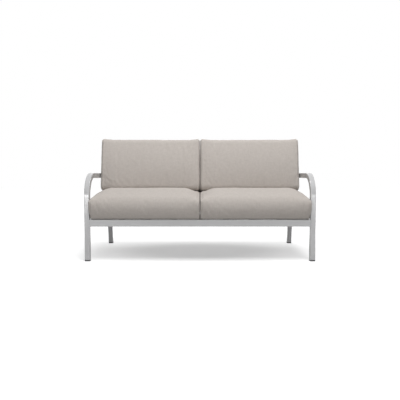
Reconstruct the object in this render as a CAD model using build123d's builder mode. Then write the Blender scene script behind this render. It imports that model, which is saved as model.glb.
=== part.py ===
from build123d import *
import math
import os

# Patio loveseat of powder-coated aluminium tube with loose box cushions.
# Lengths are millimetres and angles degrees. +Z is up, the front faces -Y, and the
# floor point under the middle of the whole seat is the origin. Left is the -X side.

# Overall sizes, each set by itself
overall_width = 1520.0
arm_height = 582.0
leg_spread = 836.0
rear_leg_rake = 10.6
seat_rail_top = 274.5
seat_overhang = 38.0

# Bent side frame: front leg, arm and rear leg are one tube
tube_size = 35.0
tube_wall = 2.0
tube_corner = 4.0
arm_front_bend = 158.0
arm_rear_bend = 118.0

# Foot plugs pressed into the leg ends
foot_height = 10.0
foot_spigot = 22.0
foot_clearance = 0.1

# Seat frame
rail_height = 45.0
rail_depth = 30.0
side_rail_width = 25.0
rail_wall = 2.0
rail_corner = 3.0
seat_slat_width = 30.0
seat_slat_height = 12.0
seat_slat_wall = 1.5
seat_slat_corner = 2.5
seat_slats_each_side = 3
centre_bar_width = 25.0
centre_bar_height = 40.0

# Reclined back frame, measured up its own slope from the seat rail's top
back_recline = 11.0
back_frame_start = 528.7
back_frame_length = 498.6
upright_size = 30.0
upright_wall = 2.0
upright_corner = 3.0
back_rail_rise = 28.0
back_slat_width = 30.0
back_slat_depth = 12.0
back_slat_wall = 1.5
back_slat_corner = 2.5
back_slats = 5

# Screws, washers, rivet nuts and threaded plugs
screw_diameter = 8.0
screw_length = 20.0
back_foot_screw_length = 60.0
screw_head_diameter = 14.0
screw_head_height = 4.4
screw_head_taper = 12.0
key_socket_width = 5.0
key_socket_depth = 2.6
screw_hole = 8.6
thread_clearance = 0.05
washer_diameter = 15.0
washer_thickness = 1.6
screw_pitch = 22.0
rivet_nut_diameter = 11.0
rivet_nut_bulge = 14.0
rivet_nut_bulge_length = 4.0
rivet_nut_length = 17.5
access_hole = 17.0
hole_plug_flange = 20.0
hole_plug_flange_thickness = 1.0
hole_plug_stem = 5.0
hole_plug_wall = 1.5
plug_length = 34.0
plug_clearance = 0.1
cap_thickness = 3.0
cap_spigot = 7.0
cap_wall = 2.0

# Cushions: a zipped cover sewn as one wrap panel and two end panels, round a filling
cushion_side_gap = 3.0
cushion_middle_gap = 3.0
rest_clearance = 0.3
cover_thickness = 1.6
filling_clearance = 0.3
end_panel_bulge = 22.0
end_panel_draw = 22.0
crown_run = 125.0
end_panel_step_shares = (0.82, 0.5, 0.0)
crown_steps = 3

# Seat cushion cross-section
seat_front_bulge = 6.0
seat_front_height = 137.5
seat_front_rise = 39.0
seat_crown = 27.0
seat_edge_crown = 5.0
seat_rear_bulge = 5.0
seat_rear_gap = 6.0
seat_front_top_radius = 78.0
seat_edge_top_radius = 40.0
seat_front_bottom_radius = 36.0
seat_rear_radius = 24.0
seat_rest_radius = 30.0

# Back cushion cross-section, in the slope of the back frame
back_cushion_start = 143.9
back_cushion_height = 388.0
back_cushion_thickness = 232.0
back_front_bulge = 22.0
back_edge_bulge = 8.0
back_top_bulge = 9.0
back_top_dip = 7.0
back_front_top_radius = 48.0
back_rear_top_radius = 34.0
back_front_bottom_radius = 40.0
back_rear_bottom_radius = 30.0

# Zips
zip_width = 14.0
zip_thickness = 1.2
zip_length = 560.0
zip_slider_width = 9.0
zip_slider_length = 15.0
zip_slider_thickness = 3.0

# One overrun serves every cut
overrun = 5.0
# An arc that rounds a square corner passes this share of the way in from the corner
round_share = 0.56

# Places worked out from the sizes
rake = math.radians(rear_leg_rake)
recline = math.radians(back_recline)
rear_leg_cut = tube_size / math.cos(rake)
overall_depth = seat_overhang + leg_spread + rear_leg_cut
front_plane = seat_overhang - overall_depth / 2
half_width = overall_width / 2
inner_half_width = half_width - tube_size
arm_middle = arm_height - tube_size / 2
front_leg_middle = front_plane + tube_size / 2
rail_middle = seat_rail_top - rail_height / 2
back_frame_front = front_plane + back_frame_start

# Directions of the back frame: out behind it, and up its slope
behind = Vector(0, math.cos(recline), -math.sin(recline))
up_slope = Vector(0, math.sin(recline), math.cos(recline))


def rear_leg_middle(height):
    """Y of the rear leg's centre line at a height above the floor."""
    return front_plane + leg_spread + rear_leg_cut / 2 - height * math.tan(rake)


def on_back(x, depth, rise):
    """A point of the back frame: depth behind its front face and rise up its slope."""
    return Vector(x, back_frame_front, seat_rail_top) + behind * depth + up_slope * rise


side_rail_end = rear_leg_middle(rail_middle) + rear_leg_cut / 2
side_rail_middle = inner_half_width - side_rail_width / 2
rear_rail_front = side_rail_end - rail_depth
rail_back_face = front_plane + rail_depth

# The back frame's uprights cross the arms where their centre lines meet
arm_crossing_rise = (arm_middle - seat_rail_top + math.sin(recline) * upright_size / 2) / math.cos(recline)
arm_crossing = on_back(inner_half_width, upright_size / 2, arm_crossing_rise)

# Screws that run along X: (Y, Z) of each, the same on both sides of the seat
half_pitch = screw_pitch / 2
front_screws = [(front_plane + rail_depth / 2, rail_middle + step) for step in (-half_pitch, half_pitch)]
rear_screws = [(rear_leg_middle(rail_middle + step), rail_middle + step) for step in (-half_pitch, half_pitch)]
arm_screw = (arm_crossing.Y, arm_crossing.Z)
side_screws = front_screws + rear_screws + [arm_screw]
sides = {"left": -1, "right": 1}

os.makedirs("parts", exist_ok=True)


def write(piece, name):
    """Labels a finished piece and writes it under its node's name."""
    piece.label = name
    export_step(piece, f"parts/{name}.step")


def box_tube(plane, across, along, wall, corner, length):
    """A straight rectangular tube that runs up its plane's normal."""
    with BuildPart() as tube:
        with BuildSketch(plane):
            RectangleRounded(across, along, corner)
            RectangleRounded(across - 2 * wall, along - 2 * wall, corner - wall / 2, mode=Mode.SUBTRACT)
        extrude(amount=length)
    return tube.part


# Side frames
for name, side in sides.items():
    tube_middle = side * (half_width - tube_size / 2)
    with BuildPart() as side_frame:
        with BuildLine(Plane.YZ.offset(tube_middle)) as bend_line:
            FilletPolyline(
                (front_leg_middle, foot_height),
                (front_leg_middle, arm_middle),
                (rear_leg_middle(arm_middle), arm_middle),
                (rear_leg_middle(-overrun), -overrun),
                radius=[arm_front_bend - tube_size / 2, arm_rear_bend - tube_size / 2],
            )
        with BuildSketch(Plane(origin=bend_line.line @ 0, x_dir=(1, 0, 0), z_dir=(0, 0, 1))):
            RectangleRounded(tube_size, tube_size, tube_corner)
            inner_size = tube_size - 2 * tube_wall
            RectangleRounded(inner_size, inner_size, tube_corner - tube_wall / 2, mode=Mode.SUBTRACT)
        sweep(path=bend_line.line)
        split(bisect_by=Plane.XY.offset(foot_height), keep=Keep.TOP)
        # Each screw clamps the inner wall, and goes in through a wider hole in the outer wall
        with Locations([(side * inner_half_width, y, z) for y, z in side_screws]):
            Cylinder(screw_hole / 2, 4 * tube_wall, rotation=(0, 90, 0), mode=Mode.SUBTRACT)
        with Locations([(side * half_width, y, z) for y, z in side_screws]):
            Cylinder(access_hole / 2, 4 * tube_wall, rotation=(0, 90, 0), mode=Mode.SUBTRACT)
    write(side_frame.part, f"side_frame_{name}")

    # Plastic foot plugs: a block under the tube's end and a spigot up inside it
    spigot_size = tube_size - 2 * tube_wall - 2 * foot_clearance
    spigot_corner = tube_corner - tube_wall / 2
    with BuildPart() as front_foot:
        with BuildSketch(Plane.XY):
            with Locations((tube_middle, front_leg_middle)):
                RectangleRounded(tube_size, tube_size, tube_corner)
        extrude(amount=foot_height)
        with BuildSketch(Plane.XY.offset(foot_height)):
            with Locations((tube_middle, front_leg_middle)):
                RectangleRounded(spigot_size, spigot_size, spigot_corner)
        extrude(amount=foot_spigot)
    write(front_foot.part, f"foot_front_{name}")

    leg_axis = Vector(0, -math.sin(rake), math.cos(rake))
    leg_end = Vector(tube_middle, rear_leg_middle(0), 0) - leg_axis * tube_size
    with BuildPart() as rear_foot:
        with BuildSketch(Plane(origin=leg_end, x_dir=(1, 0, 0), z_dir=leg_axis)):
            RectangleRounded(tube_size, tube_size, tube_corner)
        extrude(amount=tube_size * 2)
        split(bisect_by=Plane.XY.offset(foot_height), keep=Keep.BOTTOM)
        with BuildSketch(Plane(origin=leg_end, x_dir=(1, 0, 0), z_dir=leg_axis)):
            RectangleRounded(spigot_size, spigot_size, spigot_corner)
        extrude(amount=tube_size + (foot_height + foot_spigot) / math.cos(rake))
        split(bisect_by=Plane.XY, keep=Keep.TOP)
    write(rear_foot.part, f"foot_rear_{name}")

# Seat frame: front and rear rails, side rails, slats and a deeper bar in the middle
front_rail = box_tube(
    Plane(origin=(-inner_half_width, front_plane + rail_depth / 2, rail_middle), x_dir=(0, 1, 0), z_dir=(1, 0, 0)),
    rail_depth, rail_height, rail_wall, rail_corner, 2 * inner_half_width,
)
write(front_rail, "seat_rail_front")

rear_rail_half = inner_half_width - side_rail_width
rear_rail = box_tube(
    Plane(origin=(-rear_rail_half, rear_rail_front + rail_depth / 2, rail_middle), x_dir=(0, 1, 0), z_dir=(1, 0, 0)),
    rail_depth, rail_height, rail_wall, rail_corner, 2 * rear_rail_half,
)
write(rear_rail, "seat_rail_rear")

back_foot = on_back(side_rail_middle, upright_size / 2, 0)
back_foot_screw_y = back_foot.Y
for name, side in sides.items():
    with BuildPart() as side_rail:
        with BuildSketch(Plane(origin=(side * side_rail_middle, rail_back_face, rail_middle), x_dir=(1, 0, 0),
                               z_dir=(0, 1, 0))):
            RectangleRounded(side_rail_width, rail_height, rail_corner)
            RectangleRounded(side_rail_width - 2 * rail_wall, rail_height - 2 * rail_wall,
                             rail_corner - rail_wall / 2, mode=Mode.SUBTRACT)
        extrude(amount=side_rail_end - rail_back_face)
        # Holes for the rivet nuts in the outer wall and for the back frame's screw
        with Locations([(side * inner_half_width, y, z) for y, z in rear_screws]):
            Cylinder(rivet_nut_diameter / 2, 2 * rail_wall + overrun, rotation=(0, 90, 0), mode=Mode.SUBTRACT)
        with Locations((side * side_rail_middle, back_foot_screw_y, rail_middle)):
            Cylinder(screw_hole / 2, rail_height + overrun, mode=Mode.SUBTRACT)
    write(side_rail.part, f"seat_rail_{name}")

slat_length = rear_rail_front - rail_back_face
slat_pitch = 2 * rear_rail_half / (2 * seat_slats_each_side + 2)
for name, side in sides.items():
    for number in range(1, seat_slats_each_side + 1):
        slat = box_tube(
            Plane(origin=(side * number * slat_pitch, rail_back_face, seat_rail_top - seat_slat_height / 2),
                  x_dir=(1, 0, 0), z_dir=(0, 1, 0)),
            seat_slat_width, seat_slat_height, seat_slat_wall, seat_slat_corner, slat_length,
        )
        write(slat, f"seat_slat_{name}_{number}")
centre_bar = box_tube(
    Plane(origin=(0, rail_back_face, seat_rail_top - centre_bar_height / 2), x_dir=(1, 0, 0), z_dir=(0, 1, 0)),
    centre_bar_width, centre_bar_height, rail_wall, rail_corner, slat_length,
)
write(centre_bar, "seat_centre_bar")

# Plastic caps close the side rails' rear ends
with BuildPart() as rail_caps:
    with BuildSketch(Plane(origin=(0, side_rail_end, rail_middle), x_dir=(1, 0, 0), z_dir=(0, 1, 0))):
        with Locations((-side_rail_middle, 0), (side_rail_middle, 0)):
            RectangleRounded(side_rail_width, rail_height, rail_corner)
    extrude(amount=cap_thickness)
    cap_inner_width = side_rail_width - 2 * rail_wall - 2 * foot_clearance
    cap_inner_height = rail_height - 2 * rail_wall - 2 * foot_clearance
    with BuildSketch(Plane(origin=(0, side_rail_end, rail_middle), x_dir=(1, 0, 0), z_dir=(0, 1, 0))):
        with Locations((-side_rail_middle, 0), (side_rail_middle, 0)):
            RectangleRounded(cap_inner_width, cap_inner_height, rail_corner - rail_wall / 2)
            Rectangle(cap_inner_width - 2 * cap_wall, cap_inner_height - 2 * cap_wall, mode=Mode.SUBTRACT)
    extrude(amount=-cap_spigot)
write(rail_caps.part, "side_rail_end_caps")

# Back frame: uprights mitred to the top rail, a bottom rail and upright slats
for name, side in sides.items():
    upright_x = side * (inner_half_width - upright_size / 2)
    corner = on_back(side * inner_half_width, 0, back_frame_length)
    with BuildPart() as upright:
        with BuildSketch(Plane(origin=on_back(upright_x, upright_size / 2, -upright_size),
                               x_dir=(1, 0, 0), z_dir=up_slope)):
            RectangleRounded(upright_size, upright_size, upright_corner)
            inner_size = upright_size - 2 * upright_wall
            RectangleRounded(inner_size, inner_size, upright_corner - upright_wall / 2, mode=Mode.SUBTRACT)
        extrude(amount=back_frame_length + 2 * upright_size)
        split(bisect_by=Plane.XY.offset(seat_rail_top), keep=Keep.TOP)
        split(bisect_by=Plane(origin=corner, x_dir=behind, z_dir=Vector(side, 0, 0) - up_slope), keep=Keep.TOP)
        with Locations((side * inner_half_width, arm_crossing.Y, arm_crossing.Z)):
            Cylinder(rivet_nut_diameter / 2, 2 * upright_wall + overrun, rotation=(0, 90, 0), mode=Mode.SUBTRACT)
    write(upright.part, f"back_upright_{name}")

with BuildPart() as top_rail:
    with BuildSketch(Plane(origin=on_back(-inner_half_width, upright_size / 2, back_frame_length - upright_size / 2),
                           x_dir=up_slope, z_dir=(1, 0, 0))):
        RectangleRounded(upright_size, upright_size, upright_corner)
        inner_size = upright_size - 2 * upright_wall
        RectangleRounded(inner_size, inner_size, upright_corner - upright_wall / 2, mode=Mode.SUBTRACT)
    extrude(amount=2 * inner_half_width)
    for side in sides.values():
        corner = on_back(side * inner_half_width, 0, back_frame_length)
        split(bisect_by=Plane(origin=corner, x_dir=behind, z_dir=up_slope - Vector(side, 0, 0)), keep=Keep.TOP)
write(top_rail.part, "back_rail_top")

bottom_rail_half = inner_half_width - upright_size
bottom_rail = box_tube(
    Plane(origin=on_back(-bottom_rail_half, upright_size / 2, back_rail_rise), x_dir=up_slope, z_dir=(1, 0, 0)),
    upright_size, upright_size, upright_wall, upright_corner, 2 * bottom_rail_half,
)
write(bottom_rail, "back_rail_bottom")

back_slat_start = back_rail_rise + upright_size / 2
back_slat_length = back_frame_length - upright_size - back_slat_start
back_slat_pitch = 2 * bottom_rail_half / (back_slats + 1)
for number in range(1, back_slats + 1):
    slat_x = number * back_slat_pitch - bottom_rail_half
    slat = box_tube(
        Plane(origin=on_back(slat_x, back_slat_depth / 2, back_slat_start), x_dir=(1, 0, 0), z_dir=up_slope),
        back_slat_width, back_slat_depth, back_slat_wall, back_slat_corner, back_slat_length,
    )
    write(slat, f"back_slat_{number}")

# Button-head screws: from inside the side frames into the seat, and up into the back's feet
side_screw_places = [(side, y, z) for side in sides.values() for y, z in side_screws]
screw_seat_x = inner_half_width + tube_wall + washer_thickness
with BuildPart() as leg_screws:
    for side, y, z in side_screw_places:
        seat = Vector(side * screw_seat_x, y, z)
        with BuildSketch(Plane(origin=seat, x_dir=(0, 1, 0), z_dir=(side, 0, 0))):
            Circle(screw_head_diameter / 2)
        extrude(amount=screw_head_height, taper=screw_head_taper)
        with BuildSketch(Plane(origin=seat, x_dir=(0, 1, 0), z_dir=(side, 0, 0))):
            Circle(screw_diameter / 2)
        extrude(amount=-screw_length)
        key_socket = seat + Vector(side * screw_head_height, 0, 0)
        with BuildSketch(Plane(origin=key_socket, x_dir=(0, 1, 0), z_dir=(side, 0, 0))):
            RegularPolygon(key_socket_width / 2, 6, major_radius=False)
        extrude(amount=-key_socket_depth, mode=Mode.SUBTRACT)
write(leg_screws.part, "leg_screws")

back_foot_seat = seat_rail_top - rail_height - washer_thickness
with BuildPart() as back_foot_screws:
    for side in sides.values():
        seat = Vector(side * side_rail_middle, back_foot_screw_y, back_foot_seat)
        with BuildSketch(Plane(origin=seat, x_dir=(1, 0, 0), z_dir=(0, 0, -1))):
            Circle(screw_head_diameter / 2)
        extrude(amount=screw_head_height, taper=screw_head_taper)
        with BuildSketch(Plane(origin=seat, x_dir=(1, 0, 0), z_dir=(0, 0, -1))):
            Circle(screw_diameter / 2)
        extrude(amount=-back_foot_screw_length)
        key_socket = seat - Vector(0, 0, screw_head_height)
        with BuildSketch(Plane(origin=key_socket, x_dir=(1, 0, 0), z_dir=(0, 0, -1))):
            RegularPolygon(key_socket_width / 2, 6, major_radius=False)
        extrude(amount=-key_socket_depth, mode=Mode.SUBTRACT)
write(back_foot_screws.part, "back_foot_screws")

with BuildPart() as washers:
    for side, y, z in side_screw_places:
        washer_seat = (side * (inner_half_width + tube_wall), y, z)
        with BuildSketch(Plane(origin=washer_seat, x_dir=(0, 1, 0), z_dir=(side, 0, 0))):
            Circle(washer_diameter / 2)
            Circle(screw_hole / 2, mode=Mode.SUBTRACT)
        extrude(amount=washer_thickness)
    for side in sides.values():
        with BuildSketch(Plane(origin=(side * side_rail_middle, back_foot_screw_y, back_foot_seat))):
            Circle(washer_diameter / 2)
            Circle(screw_hole / 2, mode=Mode.SUBTRACT)
        extrude(amount=washer_thickness)
write(washers.part, "screw_washers")

# Plastic plugs close the wider holes in the side frames' outer faces
with BuildPart() as hole_plugs:
    for side, y, z in side_screw_places:
        outer_face = Plane(origin=(side * half_width, y, z), x_dir=(0, 1, 0), z_dir=(side, 0, 0))
        with BuildSketch(outer_face):
            Circle(hole_plug_flange / 2)
        extrude(amount=hole_plug_flange_thickness)
        with BuildSketch(outer_face):
            Circle(access_hole / 2 - plug_clearance)
            Circle(access_hole / 2 - plug_clearance - hole_plug_wall, mode=Mode.SUBTRACT)
        extrude(amount=-hole_plug_stem)
write(hole_plugs.part, "leg_hole_plugs")

# Rivet nuts flush in the outer walls of the side rails and uprights, with the bulge
# that grips each wall from behind
nut_bore = screw_diameter / 2 + thread_clearance
nut_seats = [(y, z, rail_wall) for y, z in rear_screws] + [(*arm_screw, upright_wall)]
with BuildPart() as rivet_nuts:
    for side in sides.values():
        for y, z, wall in nut_seats:
            mouth = Plane(origin=(side * inner_half_width, y, z), x_dir=(0, 1, 0), z_dir=(-side, 0, 0))
            with BuildSketch(mouth):
                Circle(rivet_nut_diameter / 2 - thread_clearance)
                Circle(nut_bore, mode=Mode.SUBTRACT)
            extrude(amount=rivet_nut_length)
            with BuildSketch(mouth.offset(wall)):
                Circle(rivet_nut_bulge / 2)
                Circle(nut_bore, mode=Mode.SUBTRACT)
            extrude(amount=rivet_nut_bulge_length)
write(rivet_nuts.part, "rivet_nuts")

# Threaded plugs in the front rail's ends and in the back frame's feet
with BuildPart() as rail_plugs:
    for side in sides.values():
        end = Plane(origin=(side * inner_half_width, front_plane + rail_depth / 2, rail_middle),
                    x_dir=(0, 1, 0), z_dir=(-side, 0, 0))
        with BuildSketch(end):
            RectangleRounded(rail_depth - 2 * rail_wall - 2 * plug_clearance,
                             rail_height - 2 * rail_wall - 2 * plug_clearance, rail_corner - rail_wall / 2)
            with Locations((0, -half_pitch), (0, half_pitch)):
                Circle(nut_bore, mode=Mode.SUBTRACT)
        extrude(amount=plug_length)
write(rail_plugs.part, "front_rail_plugs")

with BuildPart() as back_foot_plugs:
    for side in sides.values():
        foot_x = side * (inner_half_width - upright_size / 2)
        with BuildSketch(Plane(origin=on_back(foot_x, upright_size / 2, -upright_size),
                               x_dir=(1, 0, 0), z_dir=up_slope)):
            plug_size = upright_size - 2 * upright_wall - 2 * plug_clearance
            RectangleRounded(plug_size, plug_size, upright_corner - upright_wall / 2)
        extrude(amount=upright_size + plug_length)
    split(bisect_by=Plane.XY.offset(seat_rail_top), keep=Keep.TOP)
    with Locations([(side * side_rail_middle, back_foot_screw_y, seat_rail_top) for side in sides.values()]):
        Cylinder(nut_bore, 2 * plug_length + overrun, mode=Mode.SUBTRACT)
write(back_foot_plugs.part, "back_foot_plugs")


def moved_in(corners, inset):
    """Corners of a cross-section, listed anticlockwise, with every side moved inwards."""
    moved = []
    for number, corner in enumerate(corners):
        before = (corner - corners[number - 1]).normalized()
        after = (corners[(number + 1) % len(corners)] - corner).normalized()
        normal_before = Vector(-before.Y, before.X)
        normal_after = Vector(-after.Y, after.X)
        stretch = inset / (1 + normal_before.dot(normal_after))
        moved.append(corner + (normal_before + normal_after) * stretch)
    return moved


def stations(inner_end, outer_end):
    """Places along a cushion: x, how far its outline is drawn in there, and its crown share."""
    places = []
    for share in end_panel_step_shares:
        turn = math.radians(90 * share)
        places.append((end_panel_bulge * (1 - math.sin(turn)), end_panel_draw * (1 - math.cos(turn)), 0.0))
    for step in range(1, crown_steps + 1):
        share = step / crown_steps
        places.append((end_panel_bulge + crown_run * share, 0.0, math.sin(math.radians(90 * share))))
    first = [(inner_end + distance, inset, crown) for distance, inset, crown in places]
    last = [(outer_end - distance, inset, crown) for distance, inset, crown in reversed(places)]
    return first + last


def stuffed_form(section, inner_end, outer_end, skin):
    """A cushion as a loft through its cross-sections, all of them inside its skin by one thickness."""
    with BuildPart() as form:
        for x, inset, crown in stations(inner_end + skin, outer_end - skin):
            plane, corners, radii, bulges = section(x, crown)
            corners = moved_in(corners, inset + skin)
            with BuildSketch(plane):
                with BuildLine():
                    for number, corner in enumerate(corners):
                        before = (corner - corners[number - 1]).normalized()
                        following = (number + 1) % len(corners)
                        after = (corners[following] - corner).normalized()
                        arrive = corner - before * radii[number]
                        leave = corner + after * radii[number]
                        middle = corner + ((arrive + leave) / 2 - corner) * round_share
                        ThreePointArc(arrive, middle, leave)
                        end = corners[following] - after * radii[following]
                        if bulges[number] == 0:
                            Line(leave, end)
                        else:
                            outwards = Vector(after.Y, -after.X)
                            ThreePointArc(leave, (leave + end) / 2 + outwards * bulges[number], end)
                make_face()
        loft(ruled=True)
    return form.part


def seat_section(x, crown):
    """The seat cushion across its depth: flat under it and where the back cushion rests on it."""
    front = front_plane - seat_overhang + seat_front_bulge
    bottom = seat_rail_top + rest_clearance
    rest_line = back_cushion_start - rest_clearance
    rear = back_frame_front - seat_rear_gap - seat_rear_bulge
    rest_front = on_back(x, back_rest_front, rest_line)
    rear_top = rest_front.Z - (rear - rest_front.Y) * math.tan(recline)
    corners = [
        Vector(front, bottom),
        Vector(rear, bottom),
        Vector(rear, rear_top),
        Vector(rest_front.Y, rest_front.Z),
        Vector(front, bottom + seat_front_height + seat_front_rise * crown),
    ]
    top_radius = seat_edge_top_radius + (seat_front_top_radius - seat_edge_top_radius) * crown
    radii = [seat_front_bottom_radius, seat_rear_radius, seat_rear_radius, seat_rest_radius, top_radius]
    crown_bulge = seat_edge_crown + (seat_crown - seat_edge_crown) * crown
    bulges = [0, seat_rear_bulge, 0, crown_bulge, seat_front_bulge]
    return Plane.YZ.offset(x), corners, radii, bulges


def back_section(x, crown):
    """The back cushion across its thickness: flat where it leans on the frame and rests on the seat."""
    plane = Plane(origin=on_back(x, 0, 0), x_dir=behind, z_dir=(1, 0, 0))
    front = -rest_clearance - back_cushion_thickness
    top = back_cushion_start + back_cushion_height - back_top_dip * crown
    corners = [
        Vector(front, back_cushion_start),
        Vector(-rest_clearance, back_cushion_start),
        Vector(-rest_clearance, top),
        Vector(front, top),
    ]
    radii = [back_front_bottom_radius, back_rear_bottom_radius, back_rear_top_radius, back_front_top_radius]
    front_bulge = back_edge_bulge + (back_front_bulge - back_edge_bulge) * crown
    bulges = [0, 0, back_top_bulge, front_bulge]
    return plane, corners, radii, bulges


# The seat cushion's flat rest starts under the back cushion's front, past its rounded edge
back_rest_front = back_front_bottom_radius - back_cushion_thickness
outer_end = inner_half_width - cushion_side_gap
inner_end = cushion_middle_gap / 2
cushion_middle = (inner_end + outer_end) / 2
core_skin = cover_thickness + filling_clearance

# The seat zip runs along the middle of the rear face, where it bulges most
zip_height = seat_rail_top + seat_front_height / 2
seat_zip_face = back_frame_front - seat_rear_gap + rest_clearance
# The back zip runs along the rounded lower rear edge, facing down and back
zip_facing = (behind - up_slope).normalized()
edge_corner = on_back(0, -rest_clearance, back_cushion_start)
edge_inset = back_rear_bottom_radius * round_share / math.sqrt(2)
back_zip_middle = edge_corner - zip_facing * (edge_inset - rest_clearance)

for name, side in sides.items():
    near, far = sorted((side * inner_end, side * outer_end))
    for kind, section, filling in (("seat", seat_section, "foam"), ("back", back_section, "fibre_fill")):
        outer_form = stuffed_form(section, near, far, 0)
        inner_form = stuffed_form(section, near, far, cover_thickness)
        with BuildPart() as cover:
            add(outer_form)
            add(inner_form, mode=Mode.SUBTRACT)
        write(cover.part, f"{kind}_cover_{name}")
        write(stuffed_form(section, near, far, core_skin), f"{kind}_{filling}_{name}")

    seat_zip_plane = Plane(origin=(side * cushion_middle, seat_zip_face, zip_height), x_dir=(1, 0, 0),
                           z_dir=(0, 1, 0))
    back_zip_plane = Plane(origin=back_zip_middle + Vector(side * cushion_middle, 0, 0), x_dir=(1, 0, 0),
                           z_dir=zip_facing)
    for kind, plane in (("seat", seat_zip_plane), ("back", back_zip_plane)):
        with BuildPart() as zip_piece:
            with BuildSketch(plane):
                Rectangle(zip_length, zip_width)
            extrude(amount=zip_thickness)
            with BuildSketch(plane.offset(zip_thickness)):
                with Locations((zip_length / 2 - zip_slider_length, 0)):
                    RectangleRounded(zip_slider_length, zip_slider_width, zip_slider_width / 4)
            extrude(amount=zip_slider_thickness)
        write(zip_piece.part, f"{kind}_zip_{name}")
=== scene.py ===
import math

import bmesh
import bpy
import numpy as np
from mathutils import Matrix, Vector, noise
from mathutils.bvhtree import BVHTree


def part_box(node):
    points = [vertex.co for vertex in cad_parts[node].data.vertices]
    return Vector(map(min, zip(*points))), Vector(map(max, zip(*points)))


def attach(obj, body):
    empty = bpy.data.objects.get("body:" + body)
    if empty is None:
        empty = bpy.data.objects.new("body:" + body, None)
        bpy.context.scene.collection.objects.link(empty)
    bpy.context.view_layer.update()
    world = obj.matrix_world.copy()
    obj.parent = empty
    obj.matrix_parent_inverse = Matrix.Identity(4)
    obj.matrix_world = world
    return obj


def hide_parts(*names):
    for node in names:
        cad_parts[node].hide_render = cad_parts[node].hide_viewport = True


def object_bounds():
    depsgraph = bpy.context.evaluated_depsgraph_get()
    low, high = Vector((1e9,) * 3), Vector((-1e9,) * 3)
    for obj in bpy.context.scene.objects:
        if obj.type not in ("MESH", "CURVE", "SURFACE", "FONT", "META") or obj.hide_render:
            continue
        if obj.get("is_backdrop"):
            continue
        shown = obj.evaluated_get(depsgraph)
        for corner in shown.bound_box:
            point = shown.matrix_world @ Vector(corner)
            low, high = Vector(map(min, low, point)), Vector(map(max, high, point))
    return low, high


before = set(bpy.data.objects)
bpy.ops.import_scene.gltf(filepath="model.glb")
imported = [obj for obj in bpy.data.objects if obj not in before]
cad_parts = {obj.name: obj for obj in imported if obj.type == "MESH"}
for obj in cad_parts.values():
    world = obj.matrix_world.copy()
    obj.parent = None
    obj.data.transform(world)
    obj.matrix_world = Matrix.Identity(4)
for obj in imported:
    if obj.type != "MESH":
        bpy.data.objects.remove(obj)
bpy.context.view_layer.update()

# The view
# A camera 3.15 m in front of the front legs, a little above the seat and tipped slightly
# down, fitted to the seat's edges in the photograph, which is 400 pixels square.
front_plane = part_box("seat_rail_front")[0].y
view_distance = 3.150
view_height = 0.573
view_pitch = math.radians(3.05)
image_pixels = 400
focal_pixels = 482.0
sensor_width = 36.0

camera_data = bpy.data.cameras.new("front_view")
camera_data.sensor_width = sensor_width
camera_data.lens = sensor_width * focal_pixels / image_pixels
camera = bpy.data.objects.new("front_view", camera_data)
camera.location = (0, front_plane - view_distance, view_height)
camera.rotation_euler = (math.pi / 2 - view_pitch, 0, 0)
bpy.context.scene.collection.objects.link(camera)
bpy.context.scene.camera = camera
bpy.context.scene.view_settings.view_transform = "Standard"


# Side frames, seat frame and back frame
# Aluminium tube, bent and welded, then powder coated in a satin light grey with a very
# fine orange-peel surface. The tubes are the frame's own nodes; they only get their finish.
class Wire:
    """An output in a material's nodes, so that arithmetic on it adds Math nodes."""

    def __init__(self, tree, socket=None):
        self.tree = tree
        self.socket = socket

    def node(self, kind, settings, sockets, output=0):
        """Adds a node of any kind, with its settings and its sockets' values or links."""
        made = self.tree.nodes.new(kind)
        for name, value in settings.items():
            setattr(made, name, value)
        for name, value in sockets.items():
            if isinstance(value, Wire):
                self.tree.links.new(value.socket, made.inputs[name])
            else:
                made.inputs[name].default_value = value
        return Wire(self.tree, made.outputs[output])

    def math(self, operation, first, second):
        return self.node("ShaderNodeMath", {"operation": operation}, {0: first, 1: second})

    def __add__(self, other):
        return self.math("ADD", self, other)

    __radd__ = __add__

    def __rsub__(self, other):
        return self.math("SUBTRACT", other, self)

    def __mul__(self, other):
        return self.math("MULTIPLY", self, other)

    def between(self, low, high):
        """0 below low, 1 above high and a smooth step between them."""
        return self.node("ShaderNodeMapRange", {"interpolation_type": "SMOOTHSTEP"},
                         {"Value": self, "From Min": low, "From Max": high})

    def blend(self, first, second):
        """A colour that goes from the first to the second as this goes from 0 to 1."""
        return self.node("ShaderNodeMix", {"data_type": "RGBA"},
                         {0: self, 6: (*first, 1), 7: (*second, 1)}, 2)


def finish(name, **constants):
    """A new material with its shader's constant sockets set, and a start for its wires."""
    material = bpy.data.materials.new(name)
    material.use_nodes = True
    shader = material.node_tree.nodes["Principled BSDF"]
    for socket, value in constants.items():
        shader.inputs[socket.replace("_", " ")].default_value = value
    return material, shader, Wire(material.node_tree)


def feed(shader, **wires):
    """Links wires to a shader's sockets."""
    for socket, wire in wires.items():
        wire.tree.links.new(wire.socket, shader.inputs[socket.replace("_", " ")])


def object_place(start):
    return start.node("ShaderNodeTexCoord", {}, {}, "Object")


def noise_wire(place, scale, detail, roughness=0.5):
    return place.node("ShaderNodeTexNoise", {}, {"Vector": place, "Scale": scale, "Detail": detail,
                                                 "Roughness": roughness})


coat_light = (0.535, 0.535, 0.54)
coat_dark = (0.510, 0.510, 0.516)
coat_grain_depth = 0.00006
coat_ripple_depth = 0.00010

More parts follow.
